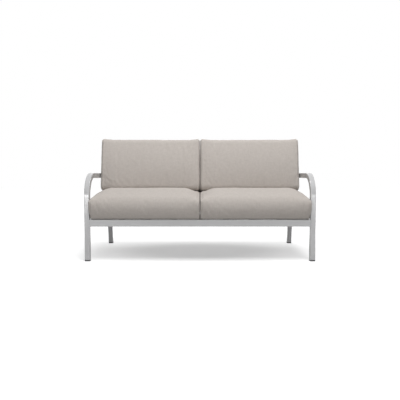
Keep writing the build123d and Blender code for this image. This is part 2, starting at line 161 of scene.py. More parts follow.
powder_coat, shader, start = finish("satin_powder_coat", Specular_IOR_Level=0.7)
place = object_place(start)
grain = noise_wire(place, scale=1400, detail=1.0)
ripple = noise_wire(place, scale=110, detail=1.0)
cloud = noise_wire(place, scale=3, detail=1.0)
bump = start.node("ShaderNodeBump", {}, {"Strength": 1.0, "Distance": coat_ripple_depth, "Height": ripple})
bump = start.node("ShaderNodeBump", {}, {"Strength": 1.0, "Distance": coat_grain_depth, "Height": grain,
                                         "Normal": bump})
feed(shader, Base_Color=cloud.between(0.25, 0.75).blend(coat_dark, coat_light), Normal=bump,
     Roughness=0.16 + ripple * 0.03)


def dress(material, *names):
    """Gives CAD nodes a material."""
    for name in names:
        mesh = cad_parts[name].data
        mesh.materials.clear()
        mesh.materials.append(material)


dress(powder_coat, "side_frame_left", "side_frame_right", "seat_rail_front", "seat_rail_rear",
      "seat_rail_left", "seat_rail_right", "seat_centre_bar", "back_upright_left",
      "back_upright_right", "back_rail_top", "back_rail_bottom")
dress(powder_coat, *(f"seat_slat_{side}_{number}" for side in ("left", "right") for number in (1, 2, 3)))
dress(powder_coat, *(f"back_slat_{number}" for number in range(1, 6)))


# Welds
# The seat frame and the back frame are welded up before they are powder coated. Each bead
# runs round a tube's end, where it isn't ground flush, as a row of small overlapping ripples.
seat_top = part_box("seat_rail_front")[1].z
inner_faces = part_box("seat_rail_front")[1].x
back_recline = math.radians(11)
back_start = 0.5287
behind = Vector((0, math.cos(back_recline), -math.sin(back_recline)))
up_slope = Vector((0, math.sin(back_recline), math.cos(back_recline)))
back_origin = Vector((0, front_plane + back_start, seat_top))


def back_point(x, depth, rise):
    """A point by the back frame: depth behind its front face, rise up its slope."""
    return back_origin + behind * depth + up_slope * rise + Vector((x, 0, 0))


def row_tree():
    """Geometry nodes that lay a small rounded body at every pitch along each line of a mesh."""
    tree = bpy.data.node_groups.new("row_along_lines", "GeometryNodeTree")
    for label, kind in (("Lines", "Geometry"), ("Pitch", "Float"), ("Size", "Vector"),
                        ("Variation", "Float"), ("Seed", "Int"), ("Finish", "Material")):
        tree.interface.new_socket(label, in_out="INPUT", socket_type=f"NodeSocket{kind}")
    tree.interface.new_socket("Row", in_out="OUTPUT", socket_type="NodeSocketGeometry")
    start = Wire(tree)
    given = tree.nodes.new("NodeGroupInput")
    lines, pitch, size, variation, seed, material = (Wire(tree, given.outputs[i]) for i in range(6))
    curve = start.node("GeometryNodeMeshToCurve", {}, {"Mesh": lines})
    curve = start.node("GeometryNodeResampleCurve", {"mode": "LENGTH"}, {"Curve": curve, "Length": pitch})
    body = start.node("GeometryNodeMeshUVSphere", {}, {"Segments": 8, "Rings": 5, "Radius": 1.0})
    tangent = start.node("GeometryNodeInputTangent", {}, {})
    turn = start.node("FunctionNodeAlignRotationToVector", {"axis": "X"}, {"Vector": tangent})
    chance = start.node("FunctionNodeRandomValue", {"data_type": "FLOAT"},
                        {2: 1 - variation, 3: 1 + variation, "Seed": seed}, 1)
    scale = start.node("ShaderNodeVectorMath", {"operation": "SCALE"}, {0: size, "Scale": chance})
    laid = start.node("GeometryNodeInstanceOnPoints", {},
                      {"Points": curve, "Instance": body, "Rotation": turn, "Scale": scale})
    laid = start.node("GeometryNodeRealizeInstances", {}, {"Geometry": laid})
    laid = start.node("GeometryNodeSetShadeSmooth", {}, {"Geometry": laid})
    laid = start.node("GeometryNodeSetMaterial", {}, {"Geometry": laid, "Material": material})
    taken = tree.nodes.new("NodeGroupOutput")
    tree.links.new(laid.socket, taken.inputs[0])
    return tree


small_bodies = row_tree()


def row_along(name, lines, pitch, size, variation, seed, material):
    """A plain mesh of small bodies laid along lines, each given as its points."""
    points = [tuple(point) for line in lines for point in line]
    edges = []
    first = 0
    for line in lines:
        edges += [(first + i, first + i + 1) for i in range(len(line) - 1)]
        first += len(line)
    path = bpy.data.meshes.new(f"{name}_lines")
    path.from_pydata(points, edges, [])
    carrier = bpy.data.objects.new(f"{name}_lines", path)
    bpy.context.scene.collection.objects.link(carrier)
    modifier = carrier.modifiers.new("row", "NODES")
    modifier.node_group = small_bodies
    sockets = {item.name: item.identifier for item in small_bodies.interface.items_tree
               if item.in_out == "INPUT"}
    for label, value in (("Pitch", pitch), ("Size", size), ("Variation", variation), ("Seed", seed),
                         ("Finish", material)):
        modifier[sockets[label]] = value
    depsgraph = bpy.context.evaluated_depsgraph_get()
    mesh = bpy.data.meshes.new_from_object(carrier.evaluated_get(depsgraph), depsgraph=depsgraph)
    mesh.name = name
    bpy.data.objects.remove(carrier)
    bpy.data.meshes.remove(path)
    return mesh


seat_bars = [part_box(f"seat_slat_{side}_{number}") for side in ("left", "right") for number in (1, 2, 3)]
seat_bars.append(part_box("seat_centre_bar"))
bead_stop = 0.003
beads = []
for low, high in seat_bars:
    for y in (low.y, high.y):
        beads.append([(low.x, y, high.z - bead_stop), (low.x, y, low.z), (high.x, y, low.z),
                      (high.x, y, high.z - bead_stop)])
for side in ("left", "right"):
    rail_low, rail_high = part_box(f"seat_rail_{side}")
    rear_low, rear_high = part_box("seat_rail_rear")
    inner_x = rail_high.x if side == "left" else rail_low.x
    outer_x = rail_low.x if side == "left" else rail_high.x
    beads.append([(inner_x, rail_low.y, rail_high.z - bead_stop), (inner_x, rail_low.y, rail_low.z),
                  (outer_x, rail_low.y, rail_low.z)])
    beads.append([(inner_x, rear_low.y, rear_high.z - bead_stop), (inner_x, rear_low.y, rear_low.z),
                  (inner_x, rear_high.y, rear_low.z), (inner_x, rear_high.y, rear_high.z - bead_stop)])
bottom_rail_middle = 0.028
top_rail_middle = 0.4836
back_tube = 0.030
back_slat_depth = 0.012
mitre_bead_share = 0.90
for number in range(1, 6):
    slat_low, slat_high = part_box(f"back_slat_{number}")
    for rise in (bottom_rail_middle + back_tube / 2, top_rail_middle - back_tube / 2):
        beads.append([back_point(slat_low.x, bead_stop, rise),
                      back_point(slat_low.x, back_slat_depth, rise),
                      back_point(slat_high.x, back_slat_depth, rise),
                      back_point(slat_high.x, bead_stop, rise)])
for outer_x in (-inner_faces, inner_faces):
    inner_x = outer_x - math.copysign(back_tube, outer_x)
    low_rise = bottom_rail_middle - back_tube / 2
    high_rise = bottom_rail_middle + back_tube / 2
    beads.append([back_point(inner_x, bead_stop, high_rise), back_point(inner_x, back_tube, high_rise),
                  back_point(inner_x, back_tube, low_rise), back_point(inner_x, bead_stop, low_rise)])
    inside = back_point(inner_x, back_tube, top_rail_middle - back_tube / 2)
    outside = back_point(outer_x, back_tube, top_rail_middle + back_tube / 2)
    beads.append([back_point(inner_x, bead_stop, top_rail_middle - back_tube / 2), inside,
                  inside.lerp(outside, mitre_bead_share)])
bead_pitch = 0.0017
bead_size = (0.0016, 0.0021, 0.0021)
bead_variation = 0.12
welds = bpy.data.objects.new("frame_welds", row_along("frame_welds", beads, bead_pitch, bead_size,
                                                      bead_variation, seed=4, material=powder_coat))
bpy.context.scene.collection.objects.link(welds)
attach(welds, "frame")


# Feet, caps and plugs
# Injection-moulded plastic pushed into the tube ends: dark grey feet with a fine spark
# texture, caps and hole plugs coloured to match the frame, and black threaded plugs inside.
def moulded(name, colour, roughness):
    """A plastic with a fine spark texture and faint lighter scuffs."""
    material, shader, start = finish(name)
    place = object_place(start)
    grain = noise_wire(place, scale=900, detail=2.0)
    scuff = noise_wire(place, scale=60, detail=4.0, roughness=0.7).between(0.55, 0.8)
    bump = start.node("ShaderNodeBump", {}, {"Strength": 0.6, "Distance": 0.00008, "Height": grain})
    worn = tuple(min(1, channel * 1.25 + 0.01) for channel in colour)
    feed(shader, Base_Color=scuff.blend(colour, worn), Roughness=roughness + scuff * 0.12, Normal=bump)
    return material


foot_plastic = moulded("foot_plastic", (0.085, 0.085, 0.088), 0.5)
cap_plastic = moulded("cap_plastic", (0.5, 0.5, 0.505), 0.42)
plug_plastic = moulded("plug_plastic", (0.03, 0.03, 0.03), 0.5)
dress(foot_plastic, "foot_front_left", "foot_front_right", "foot_rear_left", "foot_rear_right")
dress(cap_plastic, "side_rail_end_caps", "leg_hole_plugs")
dress(plug_plastic, "front_rail_plugs", "back_foot_plugs")


# Screws, washers and rivet nuts
# Stainless steel button-head screws and turned washers, with faint turning marks, and
# rivet nuts drawn up in the tube walls.
fastener_steel, shader, start = finish("fastener_steel", Metallic=1.0)
place = object_place(start)
turning = place.node("ShaderNodeMapping", {}, {"Vector": place, "Scale": (900, 90, 90)})
marks = noise_wire(turning, scale=3, detail=2.0)
bump = start.node("ShaderNodeBump", {}, {"Strength": 0.5, "Distance": 0.00004, "Height": marks})
feed(shader, Base_Color=marks.blend((0.46, 0.46, 0.46), (0.62, 0.62, 0.61)), Roughness=0.26 + marks * 0.14,
     Normal=bump)
dress(fastener_steel, "leg_screws", "back_foot_screws", "screw_washers", "rivet_nuts")


# Seat cushions
# Foam blocks in loose box covers. Each cover is one wrap panel round the front, bottom, rear
# and top, sewn at both ends to a boxed end panel, and it is crowned by the foam inside.
cushion_side_gap = 0.0035
cushion_middle_gap = 0.0040
square_foot_share = 0.7
square_foot_height = 0.050
square_foot_run = 0.100


def smooth_steps(shares):
    """Smooth steps from 0 to 1 as shares go from 0 to 1."""
    shares = np.clip(shares, 0, 1)
    return shares * shares * (3 - 2 * shares)


def seat_point(x, depth, height):
    """A point of a seat cushion: depth behind the front legs' faces, height above the rails.

    Its ends stand square on the rails, so low down they come out to the cushion's full width."""
    inner, outer = cushion_middle_gap / 2, inner_faces - cushion_side_gap
    middle, half = (inner + outer) / 2, (outer - inner) / 2
    offset = abs(x) - middle
    inset = half - abs(offset)
    low_down = smooth_steps(1 - height / square_foot_height)
    inset *= 1 - square_foot_share * low_down * smooth_steps(1 - inset / square_foot_run)
    across = middle + math.copysign(half - inset, offset)
    return Vector((math.copysign(across, x), front_plane + depth, seat_top + height))


def seat_outline(crown):
    """Seat cushion's cross-section: corners, their radii, side bulges and the four main corners.

    crown goes from 0 at the end seams to 1 where the foam fills the cover out."""
    front = -0.0360
    front_low = -0.0120
    front_height = 0.1405 + 0.037 * crown
    rear = 0.519
    rear_height = 0.1477
    rest_front = 0.3690
    rest_height = 0.1770
    underside = 0.0006
    front_low_radii = (0.058 + 0.010 * crown, 0.030)
    front_top_radii = (0.040 + 0.060 * crown, 0.044 + 0.062 * crown)
    rear_radius = 0.024
    rest_radius = 0.030
    rear_bulge = 0.004
    top_bulge = 0.006 + 0.021 * crown
    front_bulge = 0.003
    corners = [(front_low, underside), (rear, underside), (rear, rear_height), (rest_front, rest_height),
               (front, front_height)]
    radii = [front_low_radii, rear_radius, rear_radius, rest_radius, front_top_radii]
    bulges = [0, rear_bulge, 0, top_bulge, front_bulge]
    return corners, radii, bulges, (0, 1, 2, 4)


def evenly(points, count):
    """The points of a line spread again at even steps, first and last kept."""
    points = np.array(points)
    lengths = np.concatenate([[0], np.cumsum(np.linalg.norm(np.diff(points, axis=0), axis=1))])
    steps = np.linspace(0, lengths[-1], count + 1)
    return np.stack([np.interp(steps, lengths, points[:, axis]) for axis in (0, 1)], axis=1)


easing_passes = 14
turn_steps = 12
line_step = 0.004


def rounded(line):
    """A closed line with its tightest turns eased, so that each face runs into the next."""
    line = np.array(line)
    for _ in range(easing_passes):
        line = line * 0.5 + (np.roll(line, 1, axis=0) + np.roll(line, -1, axis=0)) * 0.25
    return line


def outline_loop(corners, radii, bulges, turns, long_count, short_count, inset):
    """The closed cross-section as points that start at its first turn, drawn in by an inset."""
    corners = [np.array(corner, float) for corner in corners]
    radii = [radius if isinstance(radius, tuple) else (radius, radius) for radius in radii]
    count = len(corners)
    directions = [corners[(i + 1) % count] - corners[i] for i in range(count)]
    directions = [direction / np.linalg.norm(direction) for direction in directions]
    normals = [np.array((-direction[1], direction[0])) for direction in directions]
    moved = []
    for i in range(count):
        before, after = normals[i - 1], normals[i]
        moved.append(corners[i] + (before + after) * inset / (1 + before @ after))
    line = []
    marks = []
    for i in range(count):
        arrive = moved[i] - directions[i - 1] * radii[i][0]
        leave = moved[i] + directions[i] * radii[i][1]
        for step, share in enumerate(np.linspace(0, 1, turn_steps + 1)):
            if step == turn_steps // 2 and i in turns:
                marks.append(len(line))
            line.append(arrive * (1 - share) ** 2 + moved[i] * 2 * share * (1 - share) + leave * share ** 2)
        following = (i + 1) % count
        end = moved[following] - directions[i] * radii[following][0]
        for share in np.linspace(0, 1, max(4, int(np.linalg.norm(end - leave) / line_step)))[1:-1]:
            bulge = normals[i] * bulges[i] * 4 * share * (1 - share)
            line.append(leave * (1 - share) + end * share - bulge)
    line = rounded(line)
    pieces = []
    for number, mark in enumerate(marks):
        ahead = marks[(number + 1) % len(marks)]
        if ahead > mark:
            stretch = line[mark:ahead + 1]
        else:
            stretch = np.concatenate([line[mark:], line[:ahead + 1]])
        pieces.append(evenly(stretch, (long_count, short_count)[number % 2])[:-1])
    return np.concatenate(pieces)


seam_crowding = 0.55
seam_crease = 0.55
draw_reach = 2.2
wobble_height = 0.0016
wobble_scale = 5
wobble_seed_step = 7.3


def sewn_cover(name, outline, point, near, far, long_count, short_count, cross_count, end_bulge, end_draw,
               crown_run, dome_runs, seed):
    """One cover as a closed mesh: a wrap panel and two end panels that share their seams.

    The end panels bulge by end_bulge, over the two dome_runs: the first from their front and rear
    seams, the second from their top and bottom ones. Near its seams the wrap panel is drawn in by
    end_draw, and it has its full crown from crown_run on. Every point also keeps how far it is
    from its seam and where that seam's nearest point is."""
    around = 2 * (long_count + short_count)
    shares = np.linspace(0, 1, cross_count + 1)
    shares = shares - seam_crowding * np.sin(2 * math.pi * shares) / (2 * math.pi)
    xs = near + end_bulge + (far - near - 2 * end_bulge) * shares
    verts = []
    seam_gap = []
    outlines = []
    for x in xs:
        distance = min(x - near, far - x) - end_bulge
        crown = math.sin(math.pi / 2 * min(1, distance / crown_run))
        draw = end_draw * (1 - math.sin(math.pi / 2 * min(1, distance / (draw_reach * end_draw + 1e-6))))
        loop = outline_loop(*outline(crown), long_count, short_count, draw)
        outlines.append(loop)
        for depth, height in loop:
            place = Vector((x * wobble_scale, depth * wobble_scale, height * wobble_scale))
            wobble = noise.noise(place + Vector((seed * wobble_seed_step, 0, 0)))
            verts.append(point(x, depth, height) + Vector((0, -wobble_height, wobble_height)) * wobble)
            seam_gap.append(distance)
    seam_foot = [verts[i % around + (cross_count * around if i // around * 2 > cross_count else 0)]
                 for i in range(len(verts))]
    faces = []
    weave = []
    lengths = []
    for loop in outlines:
        steps = np.linalg.norm(np.roll(loop, -1, axis=0) - loop, axis=1)
        lengths.append(np.concatenate([[0], np.cumsum(steps)]))
    for k in range(cross_count):
        for i in range(around):
            j = (i + 1) % around
            faces.append((k * around + i, (k + 1) * around + i, (k + 1) * around + j, k * around + j))
            weave += [(xs[k], lengths[k][i]), (xs[k + 1], lengths[k + 1][i]),
                      (xs[k + 1], lengths[k + 1][i + 1]), (xs[k], lengths[k][i + 1])]
    for end, outwards in ((0, -1), (cross_count, 1)):
        loop = outlines[end]
        ids = np.zeros((long_count + 1, short_count + 1), int)
        grid = np.zeros((long_count + 1, short_count + 1, 2))
        bottom = loop[:long_count + 1]
        rear = loop[long_count:long_count + short_count + 1]
        top = loop[long_count + short_count:2 * long_count + short_count + 1][::-1]
        front = np.concatenate([loop[2 * long_count + short_count:], loop[:1]])[::-1]
        for i in range(long_count + 1):
            u = i / long_count
            for j in range(short_count + 1):
                v = j / short_count
                grid[i, j] = ((1 - v) * bottom[i] + v * top[i] + (1 - u) * front[j] + u * rear[j]
                              - (1 - u) * (1 - v) * bottom[0] - u * (1 - v) * bottom[-1]
                              - (1 - u) * v * top[0] - u * v * top[-1])
                if j == 0:
                    ids[i, j] = end * around + i
                elif i == long_count:
                    ids[i, j] = end * around + long_count + j
                elif j == short_count:
                    ids[i, j] = end * around + 2 * long_count + short_count - i
                elif i == 0:
                    ids[i, j] = end * around + (around - j) % around
                else:
                    gaps = np.linalg.norm(loop - grid[i, j], axis=1)
                    edge = gaps.min()
                    rise = min(1, np.linalg.norm((loop - grid[i, j]) / dome_runs, axis=1).min())
                    dome = math.sqrt(1 - (1 - rise) ** 2)
                    ids[i, j] = len(verts)
                    verts.append(point(xs[end] + outwards * end_bulge * dome, *grid[i, j]))
                    seam_gap.append(edge + end_bulge * dome * 0.5)
                    seam_foot.append(verts[end * around + int(gaps.argmin())])
        for i in range(long_count):
            for j in range(short_count):
                square = [(i, j), (i + 1, j), (i + 1, j + 1), (i, j + 1)]
                faces.append(tuple(int(ids[corner]) for corner in square))
                weave += [tuple(grid[corner]) for corner in square]
    mesh = bpy.data.meshes.new(name)
    mesh.from_pydata([tuple(v) for v in verts], [], faces)
    cloth = mesh.uv_layers.new(name="weave")
    cloth.data.foreach_set("uv", np.array(weave).ravel())
    mesh.attributes.new("seam_gap", "FLOAT", "POINT").data.foreach_set("value", seam_gap)
    mesh.attributes.new("seam_foot", "FLOAT_VECTOR", "POINT").data.foreach_set(
        "vector", np.array([tuple(foot) for foot in seam_foot]).ravel())
    cover = bpy.data.objects.new(name, mesh)
    bpy.context.scene.collection.objects.link(cover)
    work = bmesh.new()
    work.from_mesh(mesh)
    bmesh.ops.recalc_face_normals(work, faces=work.faces)
    crease = work.edges.layers.float.new("crease_edge")
    ends = (range(around), range(cross_count * around, (cross_count + 1) * around))
    for edge in work.edges:
        for ring in ends:
            if edge.verts[0].index in ring and edge.verts[1].index in ring:
                edge[crease] = seam_crease
    work.to_mesh(mesh)
    work.free()
    mesh.polygons.foreach_set("use_smooth", [True] * len(mesh.polygons))
    return cover


def read_points(data, field, width):
    """A field of mesh data as an array, with a row of the given width for each item."""
    values = np.zeros(len(data) * width)
    data.foreach_get(field, values)
    return values.reshape(-1, width) if width > 1 else values


stuffing_frames = 20
swell_limit = 0.024
held_seam_width = 0.020


def stuff(covers, pressure, slack, hold, resting):
    """Swells covers between their seams by a cloth simulation, then applies it.

    The seams and the faces that rest on something are held; hold is how firmly the filling
    keeps the rest in form, and slack the share by which the cloth is larger than its filling."""
    for cover in covers:
        mesh = cover.data
        points = read_points(mesh.vertices, "co", 3)
        gaps = read_points(mesh.attributes["seam_gap"].data, "value", 1)
        held = cover.vertex_groups.new(name="held")
        for i, gap in enumerate(gaps):
            near_seam = max(0.0, 1 - gap / held_seam_width)
            held.add([i], 1.0 if resting(Vector(points[i])) else max(hold, near_seam ** 2), "REPLACE")
        modifier = cover.modifiers.new("stuffing", "CLOTH")
        settings = modifier.settings
        settings.quality = 6
        settings.mass = 0.3
        settings.tension_stiffness = 25
        settings.compression_stiffness = 25
        settings.shear_stiffness = 8
        settings.bending_stiffness = 0.6
        settings.use_pressure = True
        settings.uniform_pressure_force = pressure
        settings.effector_weights.gravity = 0
        settings.vertex_group_mass = "held"
        settings.pin_stiffness = 1.0
        settings.shrink_min = -slack
        modifier.point_cache.frame_start = 1
        modifier.point_cache.frame_end = stuffing_frames
    for frame_number in range(1, stuffing_frames + 1):
        bpy.context.scene.frame_set(frame_number)
    depsgraph = bpy.context.evaluated_depsgraph_get()
    for cover in covers:
        start_points = read_points(cover.data.vertices, "co", 3)
        moves = read_points(cover.evaluated_get(depsgraph).data.vertices, "co", 3) - start_points
        lengths = np.linalg.norm(moves, axis=1, keepdims=True)
        moves *= np.minimum(1, swell_limit / np.maximum(lengths, 1e-9))
        cover.modifiers.clear()
        cover.vertex_groups.clear()
        cover.data.vertices.foreach_set("co", (start_points + moves).ravel())
    bpy.context.scene.frame_set(1)


seam_depth = 0.0022
seam_half_width = 0.0035
lip_height = 0.0010
lip_place = 0.010
lip_half_width = 0.007
wide_pucker_scale = 38
wide_pucker_height = 0.0015
wide_pucker_reach = 0.026
tight_pucker_scale = 120
tight_pucker_height = 0.0011
tight_pucker_reach = 0.010
pucker_start = 0.004
pucker_seed_step = 3.7


def sew(cover, seed, keep_clear):
    """Subdivides a cover once, then draws its seams in with the puckers that stitching makes."""
    smooth = cover.modifiers.new("smooth", "SUBSURF")
    smooth.levels = 1
    smooth.render_levels = 1
    depsgraph = bpy.context.evaluated_depsgraph_get()
    fine = bpy.data.meshes.new_from_object(cover.evaluated_get(depsgraph), preserve_all_data_layers=True,
                                           depsgraph=depsgraph)
    cover.modifiers.clear()
    rough = cover.data
    cover.data = fine
    bpy.data.meshes.remove(rough)
    fine.name = cover.name
    points = read_points(fine.vertices, "co", 3)
    normals = read_points(fine.vertices, "normal", 3)
    gaps = read_points(fine.attributes["seam_gap"].data, "value", 1)
    feet = read_points(fine.attributes["seam_foot"].data, "vector", 3)
    shift = Vector((seed * pucker_seed_step, 0, 0))
    wide = np.array([noise.noise(Vector(foot) * wide_pucker_scale + shift) for foot in feet])
    tight = np.array([noise.noise(Vector(foot) * tight_pucker_scale + shift) for foot in feet])
    groove = -seam_depth * np.exp(-(gaps / seam_half_width) ** 2)
    lip = lip_height * np.exp(-((gaps - lip_place) / lip_half_width) ** 2)
    pucker = wide_pucker_height * wide * np.exp(-gaps / wide_pucker_reach)
    pucker += tight_pucker_height * tight * np.exp(-gaps / tight_pucker_reach)
    pucker *= 1 - np.exp(-gaps / pucker_start)
    points += normals * (groove + lip + pucker)[:, None]
    fine.vertices.foreach_set("co", keep_clear(points).ravel())
    fine.update()


resting_height = 0.018
rest_gap = 0.0004
arm_gap = 0.0008
press_start = 0.012
press_run = 0.014
press_end = 0.080
press_fade = 0.040
press_height = 0.030
leg_clearance = 0.003
leg_overlap = 0.010
leg_overlap_depth = 0.014
leg_overlap_run = 0.060
under_back_start = 0.34
under_back_rise = 0.1436


def on_frame(point):
    """Whether a seat cover's point is low enough to rest on the seat frame."""
    return point.z < seat_top + resting_height


def seat_clear(points):
    """Keeps seat cushions above the frame, between the arms, off each other and under the back.

    Their front edge is pressed flat on the front rail, from a little behind its front face, and
    their ends bulge a little past the inner edges of the front legs, in front of them."""
    depth = points[:, 1] - front_plane
    height = np.maximum(rest_gap, points[:, 2] - seat_top)
    pressed = smooth_steps((depth - press_start) / press_run)
    pressed *= 1 - smooth_steps((depth - press_end) / press_fade)
    pressed *= 1 - smooth_steps(height / press_height)
    points[:, 2] = seat_top + rest_gap + (height - rest_gap) * (1 - pressed)
    across = np.clip(np.abs(points[:, 0]), cushion_middle_gap / 2, inner_faces - arm_gap)
    past_legs = np.clip((front_plane - leg_clearance - points[:, 1]) / leg_overlap_depth, 0, 1)
    near_end = np.clip((across - inner_faces + leg_overlap_run) / leg_overlap_run, 0, 1)
    points[:, 0] = np.sign(points[:, 0]) * (across + leg_overlap * past_legs * near_end ** 2)
    rise = (points - np.array(back_origin)) @ np.array(up_slope)
    too_high = np.maximum(0, rise - under_back_rise)
    excess = np.where(points[:, 1] > front_plane + under_back_start, too_high, 0)
    return points - excess[:, None] * np.array(up_slope)


seat_covers = {}
for side, sign in (("left", -1), ("right", 1)):
    near, far = sorted((sign * cushion_middle_gap / 2, sign * (inner_faces - cushion_side_gap)))
    seat_covers[side] = sewn_cover(f"seat_cushion_{side}", seat_outline, seat_point, near, far,
                                   long_count=54, short_count=16, cross_count=68, end_bulge=0.012,
                                   end_draw=0.001, crown_run=0.110, dome_runs=(0.018, 0.018), seed=sign)
stuff(seat_covers.values(), pressure=1.2, slack=0.005, hold=0.21, resting=on_frame)
for side, cover in seat_covers.items():
    sew(cover, len(side), seat_clear)

fabric_light = (0.553, 0.508, 0.473)
fabric_dark = (0.462, 0.424, 0.391)
thread_scale = 1 / 0.0016

cushion_fabric, shader, start = finish("cushion_fabric", Roughness=0.92, Sheen_Weight=0.12,
                                       Sheen_Roughness=0.5)
place = start.node("ShaderNodeUVMap", {"uv_map": "weave"}, {})
across = place.node("ShaderNodeMapping", {}, {"Vector": place, "Scale": (22, 620, 1)})
along = place.node("ShaderNodeMapping", {}, {"Vector": place, "Scale": (620, 22, 1)})
slub = noise_wire(across, scale=1, detail=2.0) + noise_wire(along, scale=1, detail=2.0)
threads = place.node("ShaderNodeMapping", {}, {"Vector": place, "Scale": (thread_scale, thread_scale, 1)})
weft = threads.node("ShaderNodeTexWave", {"bands_direction": "X"},
                    {"Vector": threads, "Scale": 0.5, "Distortion": 0.6})
warp = threads.node("ShaderNodeTexWave", {"bands_direction": "Y"},
                    {"Vector": threads, "Scale": 0.5, "Distortion": 0.6})
mottle = noise_wire(place, scale=60, detail=3.0)
tone = slub * 0.5 * 0.75 + mottle * 0.25
bump = start.node("ShaderNodeBump", {}, {"Strength": 0.5, "Distance": 0.0004, "Height": weft * warp})
feed(shader, Base_Color=tone.between(0.30, 0.70).blend(fabric_dark, fabric_light), Normal=bump)


def fit(covers, kind, filling):
    """Dresses covers in fabric, stands them for their CAD nodes and lets them ride."""
    for side, cover in covers.items():
        cover.data.materials.append(cushion_fabric)
        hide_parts(f"{kind}_cover_{side}", f"{filling}_{side}")
        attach(cover, f"{kind}_cushion_{side}")


fit(seat_covers, "seat", "seat_foam")


# Back cushions
# Softer fibre-filled box cushions, sewn like the seat's, that stand on the seat cushions and
# lean on the back frame. They are cut taller at their ends, so their top corners stand up a little.
def back_outline(crown):
    """Back cushion's cross-section, in the same terms as the seat cushion's."""
    underside = 0.1442
    top = 0.5319 - 0.007 * crown
    front = -0.232
    rear = -0.0006
    front_low_radius = 0.040
    rear_low_radius = 0.030
    rear_top_radius = 0.026 + 0.010 * crown
    front_top_radius = 0.030 + 0.008 * crown
    top_bulge = 0.007
    front_bulge = 0.006 + 0.010 * crown
    corners = [(front, underside), (rear, underside), (rear, top), (front, top)]
    radii = [front_low_radius, rear_low_radius, rear_top_radius, front_top_radius]
    return corners, radii, [0, 0, top_bulge, front_bulge], (0, 1, 2, 3)


held_rear = -0.006
held_low = 0.1486
held_top = 0.5306
least_rise = 0.1440
middle_clearance = 0.0008


def on_back_frame(point):
    """Whether a back cover's point is held by the back frame, the seat cushion or its top edge."""
    local = point - back_origin
    rise = local.dot(up_slope)
    return local.dot(behind) > held_rear or rise < held_low or rise > held_top


def back_clear(points):
    """Keeps back cushions in front of their frame, above the seats and between the arms."""
    local = points - np.array(back_origin)
    depth = local @ np.array(behind)
    rise = local @ np.array(up_slope)
    points -= np.maximum(0, depth + rest_gap)[:, None] * np.array(behind)
    points += np.maximum(0, least_rise - rise)[:, None] * np.array(up_slope)
    across = np.clip(np.abs(points[:, 0]), middle_clearance, inner_faces - arm_gap)
    points[:, 0] = np.sign(points[:, 0]) * across
    return points


back_middle_gap = 0.0024
back_covers = {}
for side, sign in (("left", -1), ("right", 1)):
    near, far = sorted((sign * back_middle_gap / 2, sign * (inner_faces - cushion_side_gap)))
    back_covers[side] = sewn_cover(f"back_cushion_{side}", back_outline, back_point, near, far,
                                   long_count=24, short_count=40, cross_count=72, end_bulge=0.0076,
                                   end_draw=0.003, crown_run=0.110, dome_runs=(0.065, 0.016), seed=sign + 5)
stuff(back_covers.values(), pressure=1.0, slack=0.005, hold=0.20, resting=on_back_frame)
for side, cover in back_covers.items():
    sew(cover, len(side) + 9, back_clear)
fit(back_covers, "back", "back_fibre_fill")


# Zips
# A nylon coil zip is let into the back of each cover: two woven tapes stitched down along
# their outer edges, a row of coil teeth from each side and a slider with a flat pull.
zip_nylon = moulded("zip_nylon", (0.26, 0.24, 0.215), 0.55)
zip_length = 0.560
tape_half = 0.0070
tape_thickness = 0.0007
tape_edge = 0.0001
tape_sink = 0.0012
tape_parting = 0.0005
coil_half = 0.0016
tooth_row = 0.0008
tooth_pitch = 0.0022
tooth_size = (0.00075, 0.0014, 0.0006)
stitch_row = 0.0052
stitch_pitch = 0.0036
stitch_size = (0.0014, 0.00032, 0.00030)
stitch_inset = 0.002
teeth_inset = 0.007
slider_inset = 0.015
slider_bevel = 0.0003
stop_inset = 0.004
stop_half_length = 0.0016
stop_half_width = 0.0026
stop_bevel = 0.0004
ray_start = 0.05


def plate(work, outline, low, high, bevel):
    """A flat piece with the given outline, between two heights, with its edges rounded over."""
    ring = [work.verts.new((x, y, low)) for x, y in outline]
    face = work.faces.new(ring)
    raised = bmesh.ops.extrude_face_region(work, geom=[face])
    top = [item for item in raised["geom"] if isinstance(item, bmesh.types.BMVert)]
    bmesh.ops.translate(work, vec=(0, 0, high - low), verts=top)
    edges = {edge for vert in ring + top for edge in vert.link_edges}
    bmesh.ops.bevel(work, geom=list(edges), offset=bevel, segments=2, affect="EDGES", profile=0.5)


def slider_outline(length, wide, narrow):
    """A zip slider's body from above: wide where the tapes part and narrow behind."""
    half = length / 2
    return [(-half, -narrow), (-half * 0.2, -wide * 0.92), (half, -wide), (half, wide),
            (-half * 0.2, wide * 0.92), (-half, narrow)]


